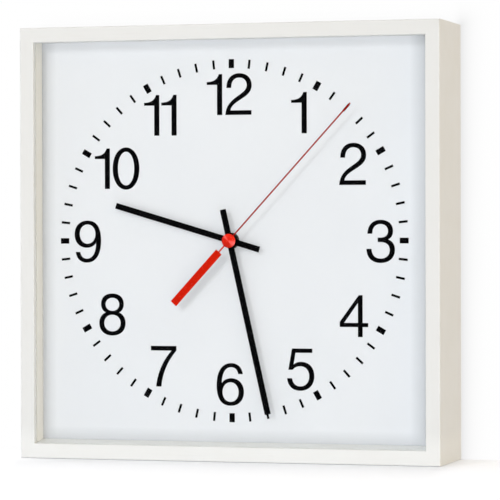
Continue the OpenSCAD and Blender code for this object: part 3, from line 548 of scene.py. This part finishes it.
def handles(here, step):
    """The two handles and the end of one step of an outline."""
    if len(step) == 2:
        thirds = [(here[0] * (3 - k) / 3 + step[0] * k / 3, here[1] * (3 - k) / 3 + step[1] * k / 3)
                  for k in (1, 2)]
        return thirds, step
    if step[0] == "c":
        return [step[1:3], step[3:5]], step[5:7]
    end = step[1:3]
    dx, dy = (end[0] - here[0]) * ROUND, (end[1] - here[1]) * ROUND
    if step[0] == "x":
        return [(here[0] + dx, here[1]), (end[0], end[1] - dy)], end
    return [(here[0], here[1] + dy), (end[0] - dx, end[1])], end


def draw_outline(curve, outline, turn):
    """Adds one closed outline to a curve. turn maps a point in millimetres to its place."""
    start, *steps = outline
    if tuple(steps[-1][-2:]) != start:
        steps.append(start)
    spline = curve.splines.new("BEZIER")
    spline.bezier_points.add(len(steps) - 1)
    spline.use_cyclic_u = True
    here = start
    for i, step in enumerate(steps):
        (first, second), end = handles(here, step)
        point, following = spline.bezier_points[i], spline.bezier_points[(i + 1) % len(steps)]
        point.handle_left_type = point.handle_right_type = "FREE"
        point.co = (*turn(here), 0)
        point.handle_right = (*turn(first), 0)
        following.handle_left_type = "FREE"
        following.handle_left = (*turn(second), 0)
        here = end


def numeral(text, centre, ink):
    """A printed numeral lying on the dial, as a closed mesh as thick as the printed marks."""
    curve = bpy.data.curves.new("numeral_" + text, "CURVE")
    curve.dimensions = "2D"
    curve.fill_mode = "BOTH"
    curve.resolution_u = CURVE_STEPS
    thickness = dial_y - print_y
    curve.extrude = thickness / 2
    for i, digit in enumerate(text):
        shift = i * TENS_STEP.get(text, 0)
        flipped = digit == "9"

        def turn(point, shift=shift, flipped=flipped):
            x, y = (SIX_SIZE[0] - point[0], SIX_SIZE[1] - point[1]) if flipped else point
            return (x + shift) * MM, y * MM

        for outline in DIGITS["6" if flipped else digit]:
            draw_outline(curve, outline, turn)
    drawn = bpy.data.objects.new("numeral_" + text, curve)
    bpy.context.scene.collection.objects.link(drawn)
    bpy.context.view_layer.update()
    evaluated = drawn.evaluated_get(bpy.context.evaluated_depsgraph_get())
    mesh = bpy.data.meshes.new_from_object(evaluated)
    bpy.data.objects.remove(drawn)

    # The drawing's X and Y turn into X and Z, and its thickness comes to lie on the dial
    left = axis_x + centre[0] * MM - max(v.co.x for v in mesh.vertices) / 2
    base = axis_z + (centre[1] - DIGIT_HEIGHT / 2) * MM
    mesh.transform(Matrix(((1, 0, 0, left), (0, 0, -1, dial_y - thickness / 2), (0, 1, 0, base),
                           (0, 0, 0, 1))))
    mesh.materials.clear()
    mesh.materials.append(ink)
    shown = bpy.data.objects.new("numeral_" + text, mesh)
    bpy.context.scene.collection.objects.link(shown)
    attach(shown, "case")


# Studio: floor under the case, wall behind it, two lamps and soft light from all round

# Half the width of the stage, the reach of its floor to the front, and how far floor and wall stay
# off the case
STAGE_HALF = 6.0
FLOOR_FRONT = 0.8
FLOOR_GAP = 0.0002
WALL_GAP = 0.0008

# The floor's own colour, how much brighter it is seen than it is lit, and the painted soft shade
# round
# the case: its strength, its reach along X and Y, and between which places from the left side of
# the case it comes up
FLOOR_COLOR = (0.89, 0.91, 0.95)
FLOOR_LIFT = 0.34
FLOOR_SHADE = 0.22
FLOOR_SHADE_REACH = {0: 0.008, 1: 0.05}
FLOOR_SHADE_RISE = (-0.01, 0.03)

# The painted soft shade on the wall: its strength on the right and on the left of the case, and its
# reach
WALL_SHADE = 0.18
WALL_SHADE_LEFT = 0.06
WALL_SHADE_REACH = 0.0055


def stage_material(name):
    """A material without nodes, and its graph."""
    material = bpy.data.materials.new(name)
    material.use_nodes = True
    material.node_tree.nodes.clear()
    return material, Graph(material.node_tree)


def nearness(graph, place, reaches):
    """Falls from 1 beside the case to 0 away from it, by a reach along each axis of a plane."""
    squares = []
    for axis, reach in reaches.items():
        middle = (case_low[axis] + case_high[axis]) / 2
        half = (case_high[axis] - case_low[axis]) / 2
        offset = graph.calc("ABSOLUTE", graph.calc("SUBTRACT", place[axis], middle))
        outside = graph.calc("MAXIMUM", graph.calc("SUBTRACT", offset, half), 0.0)
        share = graph.calc("DIVIDE", outside, reach)
        squares.append(graph.calc("MULTIPLY", share, share))
    distance = graph.calc("SQRT", graph.calc("ADD", *squares))
    return graph.calc("EXPONENT", graph.calc("MULTIPLY", distance, -1.0))


def floor_material():
    """White floor that keeps shadows. Seen, it is lifted to white, less so near the case: painted
    shade.
    """
    material, graph = stage_material("stage_floor")
    place = graph.parts(graph.node("TexCoord")["Object"])
    start, end = (case_low.x + offset for offset in FLOOR_SHADE_RISE)
    strength = graph.between(place[0], start, end, 0.0, FLOOR_SHADE)
    near = graph.calc("MULTIPLY", nearness(graph, place, FLOOR_SHADE_REACH), strength)
    seen = graph.seen(graph.node("LightPath"))
    # Painted shade: seen near the case, the floor is made darker
    kept = graph.calc("SUBTRACT", 1.0, graph.calc("MULTIPLY", near, seen))
    lift = graph.calc("MULTIPLY", graph.calc("MULTIPLY", seen, FLOOR_LIFT), kept)
    lit = graph.node("BsdfDiffuse", {"Color": graph.scaled(FLOOR_COLOR, kept)})[0]
    lifted = graph.node("Emission", {"Color": WHITE, "Strength": lift})[0]
    graph.node("OutputMaterial", {"Surface": graph.node("AddShader", {0: lit, 1: lifted})[0]})
    return material


def wall_material():
    """White wall, seen from its front only, with a soft painted shade close to the case.

    The shade is strongest on the right. Light passes through the wall, and so does what mirrors and
    glass show, which is the room behind it, just as white."""
    material, graph = stage_material("stage_wall")
    place = graph.parts(graph.node("TexCoord")["Object"])
    near = nearness(graph, place, {0: WALL_SHADE_REACH, 2: WALL_SHADE_REACH})
    strength = graph.between(place[0], case_high.x - WALL_SHADE_REACH, case_high.x,
                             WALL_SHADE_LEFT, WALL_SHADE)
    # Painted shade: the wall is made darker close to the case
    kept = graph.calc("SUBTRACT", 1.0, graph.calc("MULTIPLY", near, strength))
    white = graph.node("Emission", {"Color": WHITE, "Strength": kept})[0]
    front = graph.calc("SUBTRACT", 1.0, graph.node("NewGeometry")["Backfacing"])
    shown = graph.calc("MULTIPLY", front, graph.node("LightPath")["Is Camera Ray"])
    surface = graph.node("MixShader", {0: shown, 1: graph.node("BsdfTransparent")[0], 2: white})[0]
    graph.node("OutputMaterial", {"Surface": surface})
    return material


def plane(name, corners, material):
    """One face of the stage."""
    mesh = bpy.data.meshes.new(name)
    mesh.from_pydata(corners, [], [(0, 1, 2, 3)])
    mesh.materials.append(material)
    made = bpy.data.objects.new(name, mesh)
    bpy.context.scene.collection.objects.link(made)


def build_stage():
    """The floor, and the wall that stands on it."""
    floor_z = case_low.z - FLOOR_GAP
    wall_y = case_high.y + WALL_GAP
    plane("floor", [(-STAGE_HALF, -FLOOR_FRONT, floor_z), (STAGE_HALF, -FLOOR_FRONT, floor_z),
                    (STAGE_HALF, STAGE_HALF, floor_z), (-STAGE_HALF, STAGE_HALF, floor_z)],
          floor_material())
    plane("wall", [(-STAGE_HALF, wall_y, floor_z), (STAGE_HALF, wall_y, floor_z),
                   (STAGE_HALF, wall_y, STAGE_HALF), (-STAGE_HALF, wall_y, STAGE_HALF)],
          wall_material())


# Lamps: direction from the dial, distance, size and power. The key makes the shadows of the hands,
# and the front lamp stands behind the camera.
LAMPS = {
    "key": ((-0.42, -1.0, 0.5), 1.7, (0.42, 0.42), 5.7),
    "front": ((0.282, -0.959, -0.01), 3.0, (0.3, 0.24), 28.0)}

# Even light from all round, and further light from the right, from behind, from above and from the
# left: its colour, the direction it comes from, and how tightly it is gathered there
ROOM_COLOR = (0.18, 0.178, 0.176)
ROOM_LOBES = [
    ((1.24, 0.86, 0.28), (1, 0, 0), 4.0),
    ((0.82, 0.82, 0.84), (0, 0.97, 0.243), 3.0),
    ((0.54, 0.54, 0.55), (0, -0.1, 0.995), 3.0),
    ((1.52, 1.48, 1.41), (-1, 0, 0), 4.0)]


def build_lamps():
    """Rectangular lamps, turned towards the middle of the dial."""
    for name, (direction, distance, size, power) in LAMPS.items():
        lamp = bpy.data.lights.new(name, "AREA")
        lamp.shape = "RECTANGLE"
        lamp.size, lamp.size_y = size
        lamp.energy = power
        shown = bpy.data.objects.new(name, lamp)
        bpy.context.scene.collection.objects.link(shown)
        towards = Vector(direction).normalized()
        shown.location = Vector((axis_x, dial_y, axis_z)) + towards * distance
        shown.rotation_mode = "QUATERNION"
        shown.rotation_quaternion = towards.to_track_quat("Z", "Y")
        shown.visible_camera = False


def build_room():
    """Light from all round: an even part and the lobes. The camera sees it as plain white."""
    world = bpy.data.worlds.new("room")
    bpy.context.scene.world = world
    world.use_nodes = True
    graph = Graph(world.node_tree)
    looking = graph.node("TexCoord")["Generated"]
    total = ROOM_COLOR
    for color, towards, power in ROOM_LOBES:
        along = graph.dot(looking, Vector(towards).normalized())
        share = graph.calc("POWER", graph.calc("MAXIMUM", along, 0.0), power)
        total = graph.node("VectorMath", {0: graph.scaled(color, share), 1: total})[0]
    lit = graph.tree.nodes["Background"]
    graph.tree.links.new(total, lit.inputs["Color"])
    white = graph.node("Background", {"Color": WHITE})[0]
    seen = graph.seen(graph.node("LightPath"))
    room = graph.node("MixShader", {0: seen, 1: lit.outputs[0], 2: white})[0]
    graph.tree.links.new(room, graph.tree.nodes["World Output"].inputs["Surface"])


# Camera, fitted to the corners of the case and the ring of marks. Angles are in degrees.
CAMERA_AT = (0.578, -1.9678, -0.1197)
CAMERA_YAW = 16.426
CAMERA_PITCH = -0.421
CAMERA_ROLL = -0.131
CAMERA_LENS = 209.28
SENSOR = 36.0


def build_camera():
    """A long lens at the height of the dial, some way to the right."""
    camera = bpy.data.objects.new("camera", bpy.data.cameras.new("camera"))
    bpy.context.scene.collection.objects.link(camera)
    camera.data.sensor_width = SENSOR
    camera.data.lens = CAMERA_LENS
    camera.matrix_world = (Matrix.Translation(CAMERA_AT)
                           @ Matrix.Rotation(math.radians(CAMERA_YAW), 4, "Z")
                           @ Matrix.Rotation(math.radians(90 + CAMERA_PITCH), 4, "X")
                           @ Matrix.Rotation(math.radians(CAMERA_ROLL), 4, "Z"))
    bpy.context.scene.camera = camera
    bpy.context.scene.view_settings.view_transform = "Standard"


by_slot, by_node = finishes()
dress(by_slot, by_node)
for text, centre in NUMERAL_AT.items():
    numeral(text, centre, by_slot["ink"].material)
build_stage()
build_lamps()
build_room()
build_camera()
